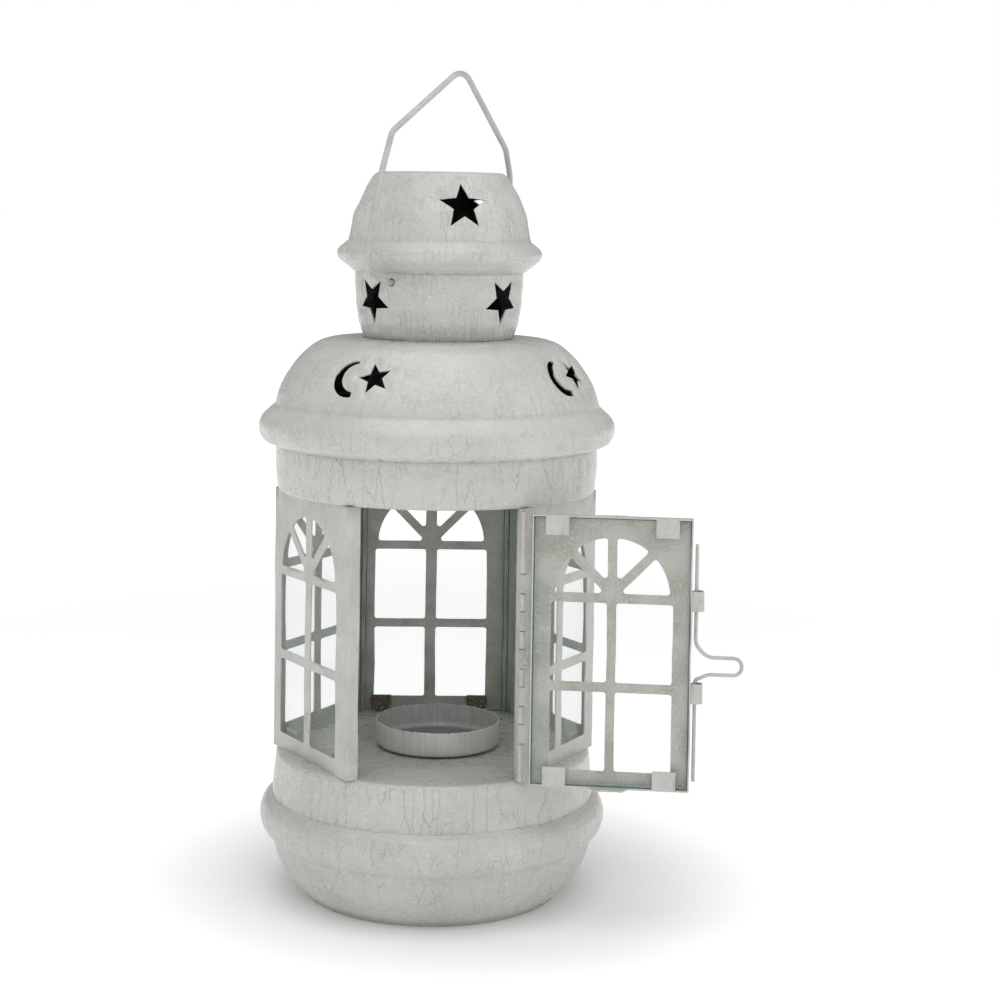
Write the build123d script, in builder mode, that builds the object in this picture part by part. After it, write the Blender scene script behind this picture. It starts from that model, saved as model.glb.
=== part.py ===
from build123d import *
import math
import os

os.makedirs("parts", exist_ok=True)

# Frame: origin at the centre of the foot, on the table. +Z up, the doorway faces -Y. Millimetres.

# ---- sheet, wire and glass stock ----
SPUN_SHEET = 0.6
PANEL_SHEET = 0.45
TIN_SHEET = 0.4
GLASS = 2.0
BAIL_WIRE = 1.0
LATCH_WIRE = 0.6
PIN_RADIUS = 0.5

# ---- base, deck and cup ----
FOOT_RADIUS = 42.8
DECK_Z = 48.0
DECK_RADIUS = 54.0
DECK_EDGE = 52.9
DECK_ROUND = 1.8
CUP_X = 1.5
CUP_RADIUS = 20.9
CUP_BOTTOM_Z = 48.3
CUP_RIM_Z = 57.0
CUP_ROUND = 1.5
SPACER_RADIUS = 4.0
RIVET_RADIUS = 1.95
RIVET_HOLE = 2.0

# ---- six-sided cage ----
SIDES = 6
CORNER_RADIUS = 54.5
APOTHEM = CORNER_RADIUS * math.cos(math.pi / SIDES)
CEILING_Z = 135.0
CEILING_RADIUS = 53.9
CEILING_EDGE = 53.3
CEILING_ROUND = 1.4
CORNER_GAP = 0.12
TRAY_DEPTH = 3.05
TRAY_ROUND = 1.0
FLANGE_LEAN = TRAY_DEPTH * math.tan(math.pi / SIDES)
POST_DEPTH = 4.0
WINDOW_HALF = 20.05
WINDOW_BOTTOM = 53.3
LOW_BAR_TOP = 81.4
HIGH_BAR_TOP = 109.6
BAR = 3.0
MULLION = 3.9
FAN_RADIUS = 19.1
FAN_DROP = 0.7
WINDOW_ROUND = 0.9
CLIP_X = 17.2
CLIP_WIDTH = 7.3
CLIP_HEIGHT = 6.2
CLIP_DEPTH = 2.6
TAB_WIDTH = 12.0
TAB_TIP = 9.0
TAB_HEIGHT = 2.0
SLOT_PLAY = 0.25
GLASS_PLAY = 0.35
GLASS_SEAT = 0.05
GLASS_BEVEL = 0.15

# ---- door, hinge and latch ----
HINGE_STANDOFF = 0.5
HINGE_X = CORNER_RADIUS / 2 + HINGE_STANDOFF * math.tan(math.pi / SIDES)
HINGE_Y = -APOTHEM - HINGE_STANDOFF
DOOR_OPEN = 171.6
DOOR_NEAR = 3.05
DOOR_FAR = 53.15
DOOR_BOTTOM = 48.4
DOOR_TOP = 134.1
DOOR_WINDOW_HALF = 19.1
DOOR_MULLION = 2.9
DOOR_FAN_RADIUS = 18.2
KNUCKLE_RADIUS = 0.95
KNUCKLE_BORE = 0.56
KNUCKLE_GAP = 0.3
KNUCKLE_PITCH = 5.97
KNUCKLE_LEAF = 2.2
DOOR_KNUCKLE_COUNT = 5
FIRST_KNUCKLE_Z = 60.9
BARREL_BOTTOM = 48.6
BARREL_TOP = 134.4
LOOP_RADIUS = 1.8
LOOP_BORE = 1.35
LOOP_HEIGHT = 6.2
LOOP_OFFSET = 55.0
LOOP_DEPTH = 0.9
LOOP_BOTTOMS = (76.3, 105.3)
ROD_OFFSET = 54.4
ROD_BOTTOM = 51.6
ROD_TOP = 126.1
DOOR_TONGUE_UP = 0.55
DOOR_TONGUE_FOLD = 3.2

# ---- roof, chimney and cap ----
VENT_RADIUS = 21.0
CHIMNEY_BASE_Z = 186.0
BAIL_HOLE_Z = 204.9
BAIL_HOLE_RADIUS = 1.32
BAIL_AZIMUTH = 56.5
BAIL_LEAN = 6.3
ROOF_PAIR_ANGLES = (-31.0, 59.0, 149.0, 239.0)
ROOF_PAIR_Z = 176.0
ROOF_PAIR_RADIUS = 48.9
ROOF_LEAN = 36
ROOF_STAR_RADIUS = 5.8
ROOF_STAR_TURN = 6.6
ROOF_STAR_TILT = 17
CHIMNEY_STAR_ANGLES = (-54.2, 51.0, 178.9)
CHIMNEY_STAR_RADIUS = 8.0
CHIMNEY_STAR_Z = 199.0
CHIMNEY_RADIUS = 27.9
CAP_STAR_ANGLES = (16.3, 136.3, 256.3)
CAP_STAR_RADIUS = 8.2
CAP_STAR_Z = 230.4
CAP_LEAN = 22
CAP_RADIUS = 27.8
STAR_INNER = 0.44
PUNCH_STANDOFF = 8
PUNCH_DEPTH = 16
CAP_TOP_Z = 241.0


def punching(angle, height, slope, radius):
    """Plane a little outside a round wall, square to the wall where it has that height and radius.

    The angle is measured from the front, and the slope is how far the wall leans back.
    """
    turn = math.radians(angle)
    lean = math.radians(slope)
    outward = Vector(math.sin(turn), -math.cos(turn), 0)
    normal = outward * math.cos(lean) + Vector(0, 0, math.sin(lean))
    across = Vector(math.cos(turn), math.sin(turn), 0)
    wall_point = outward * radius + Vector(0, 0, height)
    return Plane(origin=wall_point + normal * PUNCH_STANDOFF, x_dir=across, z_dir=normal)


def star_points(radius, tilt):
    """Ten corners of a five-pointed star, first tip turned by tilt degrees from straight up."""
    corners = []
    for step in range(10):
        reach = radius if step % 2 == 0 else radius * STAR_INNER
        turn = math.radians(90 + tilt + 36 * step)
        corners.append((reach * math.cos(turn), reach * math.sin(turn)))
    return corners


def lit_window(plane, half_width, mullion, fan_radius):
    """The four fan lights and four panes of one window, as a sketch of openings."""
    with BuildSketch(plane) as openings:
        with BuildSketch(mode=Mode.PRIVATE) as fan:
            with Locations((0, HIGH_BAR_TOP - FAN_DROP)):
                Circle(fan_radius)
            with Locations((0, HIGH_BAR_TOP - fan_radius)):
                Rectangle(3 * fan_radius, 2 * fan_radius, mode=Mode.SUBTRACT)
            for turn, width in ((45, BAR), (90, mullion), (135, BAR)):
                with Locations((0, HIGH_BAR_TOP)):
                    Rectangle(4 * fan_radius, width, rotation=turn, mode=Mode.SUBTRACT)
        add(fan.sketch)
        pane_width = half_width - mullion / 2
        for side in (-1, 1):
            for bottom, top in ((WINDOW_BOTTOM, LOW_BAR_TOP - BAR), (LOW_BAR_TOP, HIGH_BAR_TOP - BAR)):
                with Locations((side * (mullion / 2 + pane_width / 2), (bottom + top) / 2)):
                    Rectangle(pane_width, top - bottom)
        fillet(openings.vertices(), WINDOW_ROUND)
    return openings.sketch


def sheet_tray(left, right, bottom, top, left_lean, right_lean, window, shift=0.0):
    """A folded window panel in the front position: tray with flanges, window and four glass clips.

    The leans are how far each side flange tilts inward over the depth of the tray. The window is its
    half width, mullion width and fan radius, and the shift moves window and clips sideways.
    """
    middle = (left + right) / 2 + shift
    back_y = -APOTHEM + TRAY_DEPTH
    with BuildPart() as tray:
        with BuildSketch(Plane.XY.offset(bottom)):
            with BuildLine():
                Polyline(
                    (left, -APOTHEM),
                    (right, -APOTHEM),
                    (right - right_lean, back_y),
                    (left + left_lean, back_y),
                    close=True,
                )
            make_face()
        extrude(amount=top - bottom)
        fillet(tray.edges().filter_by(Axis.Z).group_by(Axis.Y)[0], TRAY_ROUND)
        offset(amount=-PANEL_SHEET, openings=tray.faces().sort_by(Axis.Y)[-1], kind=Kind.INTERSECTION)
        window_plane = Plane(origin=(middle, -APOTHEM - 1, 0), x_dir=(1, 0, 0), z_dir=(0, -1, 0))
        add(extrude(lit_window(window_plane, *window), amount=-2), mode=Mode.SUBTRACT)
        for side in (-1, 1):
            for low, high in ((bottom, bottom + CLIP_HEIGHT), (top - CLIP_HEIGHT, top)):
                clip_centre = (
                    middle + side * CLIP_X,
                    -APOTHEM + CLIP_DEPTH + PANEL_SHEET / 2,
                    (low + high) / 2,
                )
                with Locations(clip_centre):
                    Box(CLIP_WIDTH, PANEL_SHEET, high - low)
    return tray.part


def insertion_tab(middle, base_z, direction, height):
    """Trapezoid tongue standing up (+1) or down (-1) from the inner edge of a flange."""
    tab_plane = Plane(origin=(middle, -APOTHEM + TRAY_DEPTH, base_z), x_dir=(1, 0, 0), z_dir=(0, -1, 0))
    with BuildPart() as tab:
        with BuildSketch(tab_plane):
            with BuildLine():
                Polyline(
                    (-TAB_WIDTH / 2, -direction * PANEL_SHEET),
                    (TAB_WIDTH / 2, -direction * PANEL_SHEET),
                    (TAB_WIDTH / 2, 0),
                    (TAB_TIP / 2, direction * height),
                    (-TAB_TIP / 2, direction * height),
                    (-TAB_WIDTH / 2, 0),
                    close=True,
                )
            make_face()
        extrude(amount=PANEL_SHEET)
    return tab.part


def barrel(low, high, radius):
    """Solid round bar on the hinge line, front position."""
    with BuildPart() as bar:
        with BuildSketch(Plane.XY.offset(low)):
            with Locations((HINGE_X, HINGE_Y)):
                Circle(radius)
        extrude(amount=high - low)
    return bar.part


# Knuckle heights: five on the door, the frame's knuckles fill the rest of the barrel.
door_knuckles = []
for index in range(DOOR_KNUCKLE_COUNT):
    knuckle_low = FIRST_KNUCKLE_Z + 2 * index * KNUCKLE_PITCH
    door_knuckles.append((knuckle_low, knuckle_low + KNUCKLE_PITCH))
frame_knuckles = []
edge_z = BARREL_BOTTOM
for knuckle_low, knuckle_high in door_knuckles:
    frame_knuckles.append((edge_z, knuckle_low - KNUCKLE_GAP))
    edge_z = knuckle_high + KNUCKLE_GAP
frame_knuckles.append((edge_z, BARREL_TOP))

# ---- base ----
with BuildPart() as base_bowl:
    with BuildSketch(Plane.XZ):
        with BuildLine():
            Line((0, 0), (FOOT_RADIUS, 0))
            Line((FOOT_RADIUS, 0), (43.2, 0.9))
            ThreePointArc((43.2, 0.9), (50.0, 8.2), (53.5, 17.4))
            Line((53.5, 17.4), (55.2, 20.2))
            ThreePointArc((55.2, 20.2), (58.0, 26.0), (54.65, 33.0))
            offset(amount=SPUN_SHEET, side=Side.LEFT)
        make_face()
    revolve(axis=Axis.Z)
base_bowl.part.label = "base_bowl"
export_step(base_bowl.part, "parts/base_bowl.step")

with BuildPart() as deck:
    with BuildSketch(Plane.XZ):
        with BuildLine():
            Line((0, DECK_Z), (DECK_EDGE - DECK_ROUND, DECK_Z))
            TangentArc((DECK_EDGE - DECK_ROUND, DECK_Z), (DECK_EDGE, DECK_Z - DECK_ROUND), tangent=(1, 0))
            Line((DECK_EDGE, DECK_Z - DECK_ROUND), (DECK_RADIUS, 34))
            Line((DECK_RADIUS, 34), (DECK_RADIUS, 29))
            offset(amount=SPUN_SHEET, side=Side.RIGHT)
        make_face()
    revolve(axis=Axis.Z)
    with BuildSketch(Plane.XY.offset(DECK_Z)):
        for turn in range(1, SIDES):
            with Locations(Rotation(0, 0, 60 * turn)):
                with Locations((0, -APOTHEM + TRAY_DEPTH - PANEL_SHEET / 2)):
                    Rectangle(TAB_WIDTH + 2 * SLOT_PLAY, PANEL_SHEET + 2 * SLOT_PLAY)
    extrude(amount=-2 * SPUN_SHEET, mode=Mode.SUBTRACT)
deck.part.label = "deck"
export_step(deck.part, "parts/deck.step")

# ---- tealight cup, held by a rivet with a thin spacer under it ----
with BuildPart() as tealight_cup:
    with BuildSketch(Plane.XZ.shift_origin((CUP_X, 0, 0))):
        with BuildLine():
            Line((0, CUP_BOTTOM_Z), (CUP_RADIUS - CUP_ROUND, CUP_BOTTOM_Z))
            TangentArc(
                (CUP_RADIUS - CUP_ROUND, CUP_BOTTOM_Z),
                (CUP_RADIUS, CUP_BOTTOM_Z + CUP_ROUND),
                tangent=(1, 0),
            )
            Line((CUP_RADIUS, CUP_BOTTOM_Z + CUP_ROUND), (CUP_RADIUS, CUP_RIM_Z))
            offset(amount=TIN_SHEET, side=Side.LEFT)
        make_face()
    revolve(axis=Axis((CUP_X, 0, 0), (0, 0, 1)))
    with Locations((CUP_X, 0, CUP_BOTTOM_Z)):
        Cylinder(RIVET_HOLE, 4 * TIN_SHEET, mode=Mode.SUBTRACT)
tealight_cup.part.label = "tealight_cup"
export_step(tealight_cup.part, "parts/tealight_cup.step")

with BuildPart() as cup_rivet:
    with Locations((CUP_X, 0, DECK_Z)):
        Cylinder(SPACER_RADIUS, CUP_BOTTOM_Z - DECK_Z, align=(Align.CENTER, Align.CENTER, Align.MIN))
    with Locations((CUP_X, 0, CUP_BOTTOM_Z)):
        Cylinder(RIVET_RADIUS, TIN_SHEET, align=(Align.CENTER, Align.CENTER, Align.MIN))
cup_rivet.part.label = "cup_rivet"
export_step(cup_rivet.part, "parts/cup_rivet.step")

# ---- cage: five fixed window panels and their glass, turned about the axis from the front position ----
TRAY_LEFT = -CORNER_RADIUS / 2 + CORNER_GAP
TRAY_RIGHT = CORNER_RADIUS / 2 - CORNER_GAP
# Name, turn about the axis, and how far the window was stamped off centre.
FIXED_PANELS = (
    ("front_right", 60, 0.0),
    ("back_right", 120, 0.0),
    ("back", 180, 1.5),
    ("back_left", 240, 0.0),
    ("front_left", 300, -1.0),
)
FIXED_WINDOW = (WINDOW_HALF, MULLION, FAN_RADIUS)
DOOR_WINDOW = (DOOR_WINDOW_HALF, DOOR_MULLION, DOOR_FAN_RADIUS)
hinge_line = Axis((HINGE_X, HINGE_Y, 0), (0, 0, 1))
for place, turn, stamp_shift in FIXED_PANELS:
    with BuildPart() as fixed_panel:
        right_lean = 0.0 if place == "front_left" else FLANGE_LEAN
        edges = (TRAY_LEFT, TRAY_RIGHT, DECK_Z, CEILING_Z, FLANGE_LEAN, right_lean)
        add(sheet_tray(*edges, FIXED_WINDOW, stamp_shift))
        if place == "front_left":
            # Wider edge beside the doorway: the post the door shuts against.
            with Locations((TRAY_RIGHT, -APOTHEM + TRAY_DEPTH - PANEL_SHEET, DECK_Z)):
                Box(
                    PANEL_SHEET,
                    POST_DEPTH - TRAY_DEPTH + PANEL_SHEET,
                    CEILING_Z - DECK_Z,
                    align=(Align.MAX, Align.MIN, Align.MIN),
                )
        add(insertion_tab(0, DECK_Z, -1, TAB_HEIGHT))
        add(insertion_tab(0, CEILING_Z, 1, TAB_HEIGHT))
        if place == "front_right":
            # The hinge line sits at this panel's left edge, so the barrel is mirrored into place.
            with Locations((-2 * HINGE_X, 0, 0)):
                for low, high in frame_knuckles:
                    add(barrel(low, high, KNUCKLE_RADIUS))
            for low, high in frame_knuckles:
                with Locations((-HINGE_X, -APOTHEM, low)):
                    Box(
                        KNUCKLE_LEAF,
                        PANEL_SHEET,
                        high - low,
                        align=(Align.MIN, Align.MIN, Align.MIN),
                    )
            with Locations((-2 * HINGE_X, 0, 0)):
                for low, high in door_knuckles:
                    relief = barrel(low - KNUCKLE_GAP, high + KNUCKLE_GAP, KNUCKLE_RADIUS + KNUCKLE_GAP)
                    add(relief, mode=Mode.SUBTRACT)
                add(barrel(BARREL_BOTTOM - 1, BARREL_TOP + 1, KNUCKLE_BORE), mode=Mode.SUBTRACT)
    placed_panel = Rot(0, 0, turn) * fixed_panel.part
    placed_panel.label = place + "_panel"
    export_step(placed_panel, "parts/" + place + "_panel.step")

    pane_width = TRAY_RIGHT - TRAY_LEFT - 2 * (FLANGE_LEAN + PANEL_SHEET + GLASS_PLAY)
    pane_height = CEILING_Z - DECK_Z - 2 * (PANEL_SHEET + GLASS_PLAY)
    with BuildPart() as fixed_glass:
        with Locations((0, -APOTHEM + PANEL_SHEET + GLASS_SEAT, DECK_Z + PANEL_SHEET + GLASS_PLAY)):
            Box(pane_width, GLASS, pane_height, align=(Align.CENTER, Align.MIN, Align.MIN))
        chamfer(fixed_glass.edges(), GLASS_BEVEL)
    placed_glass = Rot(0, 0, turn) * fixed_glass.part
    placed_glass.label = place + "_glass"
    export_step(placed_glass, "parts/" + place + "_glass.step")

# ---- door, drawn shut in the front position, then swung open about the hinge line ----
door_left = HINGE_X - DOOR_FAR
door_right = HINGE_X - DOOR_NEAR
door_middle = (door_left + door_right) / 2
with BuildPart() as door_panel:
    add(sheet_tray(door_left, door_right, DOOR_BOTTOM, DOOR_TOP, 0.0, 0.0, DOOR_WINDOW))
    add(insertion_tab(door_middle, DOOR_TOP, 1, DOOR_TONGUE_UP))
    # Lower tongue folded flat so that the door clears the deck as it swings.
    with BuildSketch(Plane.XY.offset(DOOR_BOTTOM)):
        with BuildLine():
            Polyline(
                (door_middle - TAB_WIDTH / 2, -APOTHEM + TRAY_DEPTH - PANEL_SHEET),
                (door_middle + TAB_WIDTH / 2, -APOTHEM + TRAY_DEPTH - PANEL_SHEET),
                (door_middle + TAB_WIDTH / 2, -APOTHEM + TRAY_DEPTH),
                (door_middle + TAB_TIP / 2, -APOTHEM + TRAY_DEPTH + DOOR_TONGUE_FOLD),
                (door_middle - TAB_TIP / 2, -APOTHEM + TRAY_DEPTH + DOOR_TONGUE_FOLD),
                (door_middle - TAB_WIDTH / 2, -APOTHEM + TRAY_DEPTH),
                close=True,
            )
        make_face()
    extrude(amount=PANEL_SHEET)
    # Hinge leaf: a strip beside the barrel, with knuckles reaching round the pin.
    with Locations((HINGE_X - KNUCKLE_RADIUS - KNUCKLE_GAP, -APOTHEM, DOOR_BOTTOM)):
        Box(
            DOOR_NEAR - KNUCKLE_RADIUS + 1.0,
            PANEL_SHEET,
            DOOR_TOP - DOOR_BOTTOM,
            align=(Align.MAX, Align.MIN, Align.MIN),
        )
    for low, high in door_knuckles:
        add(barrel(low, high, KNUCKLE_RADIUS))
        with Locations((HINGE_X, -APOTHEM, low)):
            Box(KNUCKLE_LEAF, PANEL_SHEET, high - low, align=(Align.MAX, Align.MIN, Align.MIN))
    add(barrel(BARREL_BOTTOM - 1, BARREL_TOP + 1, KNUCKLE_BORE), mode=Mode.SUBTRACT)
    # Two loops curled out from the free edge to carry the latch wire.
    for loop_bottom in LOOP_BOTTOMS:
        loop_centre = (HINGE_X - LOOP_OFFSET, -APOTHEM + LOOP_DEPTH)
        strap_y = -APOTHEM + LOOP_DEPTH + LOOP_RADIUS - PANEL_SHEET
        with Locations((HINGE_X - LOOP_OFFSET, strap_y, loop_bottom)):
            Box(
                LOOP_OFFSET - DOOR_FAR + PANEL_SHEET / 2,
                PANEL_SHEET,
                LOOP_HEIGHT,
                align=(Align.MIN, Align.MIN, Align.MIN),
            )
        with BuildSketch(Plane.XY.offset(loop_bottom)):
            with Locations(loop_centre):
                Circle(LOOP_RADIUS)
                Circle(LOOP_BORE, mode=Mode.SUBTRACT)
        extrude(amount=LOOP_HEIGHT)
opened_door = door_panel.part.rotate(hinge_line, DOOR_OPEN)
opened_door.label = "door_panel"
export_step(opened_door, "parts/door_panel.step")

with BuildPart() as door_glass:
    with Locations(
        (door_middle, -APOTHEM + PANEL_SHEET + GLASS_SEAT, DOOR_BOTTOM + PANEL_SHEET + GLASS_PLAY)
    ):
        Box(
            door_right - door_left - 2 * (PANEL_SHEET + GLASS_PLAY),
            GLASS,
            DOOR_TOP - DOOR_BOTTOM - 2 * (PANEL_SHEET + GLASS_PLAY),
            align=(Align.CENTER, Align.MIN, Align.MIN),
        )
    chamfer(door_glass.edges(), GLASS_BEVEL)
opened_glass = door_glass.part.rotate(hinge_line, DOOR_OPEN)
opened_glass.label = "door_glass"
export_step(opened_glass, "parts/door_glass.step")

with BuildPart() as hinge_pin:
    with Locations((HINGE_X, HINGE_Y, BARREL_BOTTOM)):
        Cylinder(PIN_RADIUS, BARREL_TOP - BARREL_BOTTOM, align=(Align.CENTER, Align.CENTER, Align.MIN))
hinge_pin.part.label = "hinge_pin"
export_step(hinge_pin.part, "parts/hinge_pin.step")

# ---- latch wire: one straight rod with a finger bow, lying in the plane of the door ----
latch_plane = Plane(
    origin=(HINGE_X - ROD_OFFSET, -APOTHEM + LOOP_DEPTH, 0), x_dir=(-1, 0, 0), z_dir=(0, 1, 0)
)
with BuildPart() as latch_wire:
    with BuildLine(latch_plane) as latch_path:
        FilletPolyline(
            (0, ROD_BOTTOM),
            (0, 83.6),
            (4.2, 85.4),
            (14.4, 85.4),
            (14.4, 90.8),
            (3.6, 90.8),
            (0, 94.6),
            (0, ROD_TOP),
            radius=(1.3, 2.5, 2.6, 2.6, 5.0, 5.0),
        )
    with BuildSketch(Plane(origin=latch_path.line @ 0, z_dir=latch_path.line % 0)):
        Circle(LATCH_WIRE)
    sweep(transition=Transition.ROUND)
opened_latch = latch_wire.part.rotate(hinge_line, DOOR_OPEN)
opened_latch.label = "latch_wire"
export_step(opened_latch, "parts/latch_wire.step")

# ---- roof: ceiling pan with skirt, domed roof over it ----
with BuildPart() as ceiling_pan:
    with BuildSketch(Plane.XZ):
        with BuildLine():
            Line((VENT_RADIUS, CEILING_Z), (CEILING_EDGE - CEILING_ROUND, CEILING_Z))
            TangentArc(
                (CEILING_EDGE - CEILING_ROUND, CEILING_Z),
                (CEILING_EDGE, CEILING_Z + CEILING_ROUND),
                tangent=(1, 0),
            )
            Line((CEILING_EDGE, CEILING_Z + CEILING_ROUND), (CEILING_RADIUS, 142))
            Line((CEILING_RADIUS, 142), (CEILING_RADIUS, 153.5))
            offset(amount=SPUN_SHEET, side=Side.LEFT)
        make_face()
    revolve(axis=Axis.Z)
    with BuildSketch(Plane.XY.offset(CEILING_Z)):
        for turn in range(1, SIDES):
            with Locations(Rotation(0, 0, 60 * turn)):
                with Locations((0, -APOTHEM + TRAY_DEPTH - PANEL_SHEET / 2)):
                    Rectangle(TAB_WIDTH + 2 * SLOT_PLAY, PANEL_SHEET + 2 * SLOT_PLAY)
    extrude(amount=2 * SPUN_SHEET, mode=Mode.SUBTRACT)
ceiling_pan.part.label = "ceiling_pan"
export_step(ceiling_pan.part, "parts/ceiling_pan.step")

with BuildPart() as roof_dome:
    with BuildSketch(Plane.XZ):
        with BuildLine():
            Line((54.65, 150.3), (57.7, 151.6))
            ThreePointArc((57.7, 151.6), (59.75, 155.6), (57.6, 160.7))
            Line((57.6, 160.7), (54.4, 163.6))
            FilletPolyline(
                (54.4, 163.6),
                (52.9, 170),
                (46.9, 179),
                (41, 184.2),
                (36.4, 185.7),
                (22.5, CHIMNEY_BASE_Z),
                radius=(25, 25, 12, 12),
            )
            offset(amount=SPUN_SHEET, side=Side.LEFT)
        make_face()
    revolve(axis=Axis.Z)
    for pair_angle in ROOF_PAIR_ANGLES:
        star_angle = pair_angle + ROOF_STAR_TURN
        with BuildSketch(punching(star_angle, ROOF_PAIR_Z, ROOF_LEAN, ROOF_PAIR_RADIUS)):
            Polygon(*star_points(ROOF_STAR_RADIUS, ROOF_STAR_TILT), align=None)
        extrude(amount=-PUNCH_DEPTH, mode=Mode.SUBTRACT)
        with BuildSketch(punching(pair_angle, ROOF_PAIR_Z, ROOF_LEAN, ROOF_PAIR_RADIUS)) as crescent:
            with BuildLine():
                ThreePointArc((-2.2, 6.2), (-9.3, -0.5), (-1.1, -7.1))
                Line((-1.1, -7.1), (-1.0, -5.2))
                ThreePointArc((-1.0, -5.2), (-6.3, -0.2), (-2.1, 5.1))
                Line((-2.1, 5.1), (-2.2, 6.2))
            make_face()
            fillet(crescent.vertices(), 0.45)
        extrude(amount=-PUNCH_DEPTH, mode=Mode.SUBTRACT)
roof_dome.part.label = "roof_dome"
export_step(roof_dome.part, "parts/roof_dome.step")

# ---- chimney wall with its stars and the two bail holes ----
bail_across = Vector(math.cos(math.radians(BAIL_AZIMUTH)), math.sin(math.radians(BAIL_AZIMUTH)), 0)
with BuildPart() as chimney_wall:
    with BuildSketch(Plane.XZ):
        with BuildLine():
            FilletPolyline(
                (25.1, CHIMNEY_BASE_Z + 0.05),
                (26.8, 191),
                (27.75, 197),
                (28.15, 203),
                (28.3, 210.5),
                radius=12,
            )
            offset(amount=SPUN_SHEET, side=Side.LEFT)
        make_face()
    revolve(axis=Axis.Z)
    for star_angle in CHIMNEY_STAR_ANGLES:
        with BuildSketch(punching(star_angle, CHIMNEY_STAR_Z, 0, CHIMNEY_RADIUS)):
            Polygon(*star_points(CHIMNEY_STAR_RADIUS, 180), align=None)
        extrude(amount=-PUNCH_DEPTH, mode=Mode.SUBTRACT)
    with BuildSketch(Plane(origin=(0, 0, BAIL_HOLE_Z), z_dir=bail_across)):
        Circle(BAIL_HOLE_RADIUS)
    extrude(amount=2 * PUNCH_DEPTH, both=True, mode=Mode.SUBTRACT)
chimney_wall.part.label = "chimney_wall"
export_step(chimney_wall.part, "parts/chimney_wall.step")

with BuildPart() as chimney_cap:
    with BuildSketch(Plane.XZ):
        with BuildLine():
            Line((29.0, 208.1), (32.9, 211.2))
            ThreePointArc((32.9, 211.2), (34.4, 213.9), (33.2, 216.3))
            Line((33.2, 216.3), (30.6, 218.3))
            FilletPolyline(
                (30.6, 218.3),
                (29, 227),
                (26.3, 233.6),
                (21.8, CAP_TOP_Z),
                (0, CAP_TOP_Z),
                radius=(14, 14, 3.4),
            )
            offset(amount=SPUN_SHEET, side=Side.LEFT)
        make_face()
    revolve(axis=Axis.Z)
    for star_angle in CAP_STAR_ANGLES:
        with BuildSketch(punching(star_angle, CAP_STAR_Z, CAP_LEAN, CAP_RADIUS)):
            Polygon(*star_points(CAP_STAR_RADIUS, 0), align=None)
        extrude(amount=-PUNCH_DEPTH, mode=Mode.SUBTRACT)
chimney_cap.part.label = "chimney_cap"
export_step(chimney_cap.part, "parts/chimney_cap.step")

# ---- bail: one bent wire through the chimney, leaning a little forward ----
bail_lean_side = bail_across.cross(Vector(0, 0, 1))
bail_up = Vector(0, 0, math.cos(math.radians(BAIL_LEAN))) + bail_lean_side * math.sin(math.radians(BAIL_LEAN))
bail_plane = Plane(origin=(0, 0, BAIL_HOLE_Z), x_dir=bail_across, z_dir=bail_across.cross(bail_up))
with BuildPart() as bail:
    with BuildLine(bail_plane) as bail_path:
        FilletPolyline(
            (-25, 3.0),
            (-25, 0),
            (-30.4, 0),
            (-42.4, 4.4),
            (-43.0, 13.0),
            (-39.5, 37.0),
            (-36.3, 48.6),
            (0.6, 71.2),
            (33.2, 45.0),
            (37.6, 36.5),
            (43.0, 13.0),
            (42.4, 4.4),
            (30.4, 0),
            (25, 0),
            (25, 3.0),
            radius=(1.2, 3, 4, 6, 10, 3.5, 9, 6, 6, 6, 4, 3, 1.2),
        )
    with BuildSketch(Plane(origin=bail_path.line @ 0, z_dir=bail_path.line % 0)):
        Circle(BAIL_WIRE)
    sweep(transition=Transition.ROUND)
bail.part.label = "bail"
export_step(bail.part, "parts/bail.step")
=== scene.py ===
import math

import bmesh
import bpy
from mathutils import Matrix, Vector, noise


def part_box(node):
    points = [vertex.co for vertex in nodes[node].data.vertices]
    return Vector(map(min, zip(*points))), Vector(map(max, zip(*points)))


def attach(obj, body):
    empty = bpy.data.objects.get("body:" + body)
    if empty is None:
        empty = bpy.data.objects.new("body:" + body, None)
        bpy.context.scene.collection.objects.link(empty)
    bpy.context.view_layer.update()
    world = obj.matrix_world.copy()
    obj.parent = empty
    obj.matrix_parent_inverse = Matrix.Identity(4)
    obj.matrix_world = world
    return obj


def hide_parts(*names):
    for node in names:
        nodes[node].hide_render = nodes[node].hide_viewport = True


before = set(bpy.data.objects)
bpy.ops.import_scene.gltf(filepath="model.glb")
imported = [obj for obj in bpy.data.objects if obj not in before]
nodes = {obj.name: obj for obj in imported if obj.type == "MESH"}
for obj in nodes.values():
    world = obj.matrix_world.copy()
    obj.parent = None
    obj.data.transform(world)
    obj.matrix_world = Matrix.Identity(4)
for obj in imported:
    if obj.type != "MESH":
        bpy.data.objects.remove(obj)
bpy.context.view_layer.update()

MM = 0.001
# The fixed panels and their angles from the front, in degrees.
FIXED_SIDES = (
    ("front_right", 60), ("back_right", 120), ("back", 180), ("back_left", 240), ("front_left", 300),
)

# Sizes of the part, in millimetres and degrees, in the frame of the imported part.
APOTHEM = 47.198
WALL_RADIUS = 54.0
HINGE_X = 27.539
HINGE_Y = -47.698
DOOR_OPEN = 171.6
BAIL_WIRE_RADIUS = 0.985
LATCH_WIRE_RADIUS = 0.585
CUP_SHEET = 0.4

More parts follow.
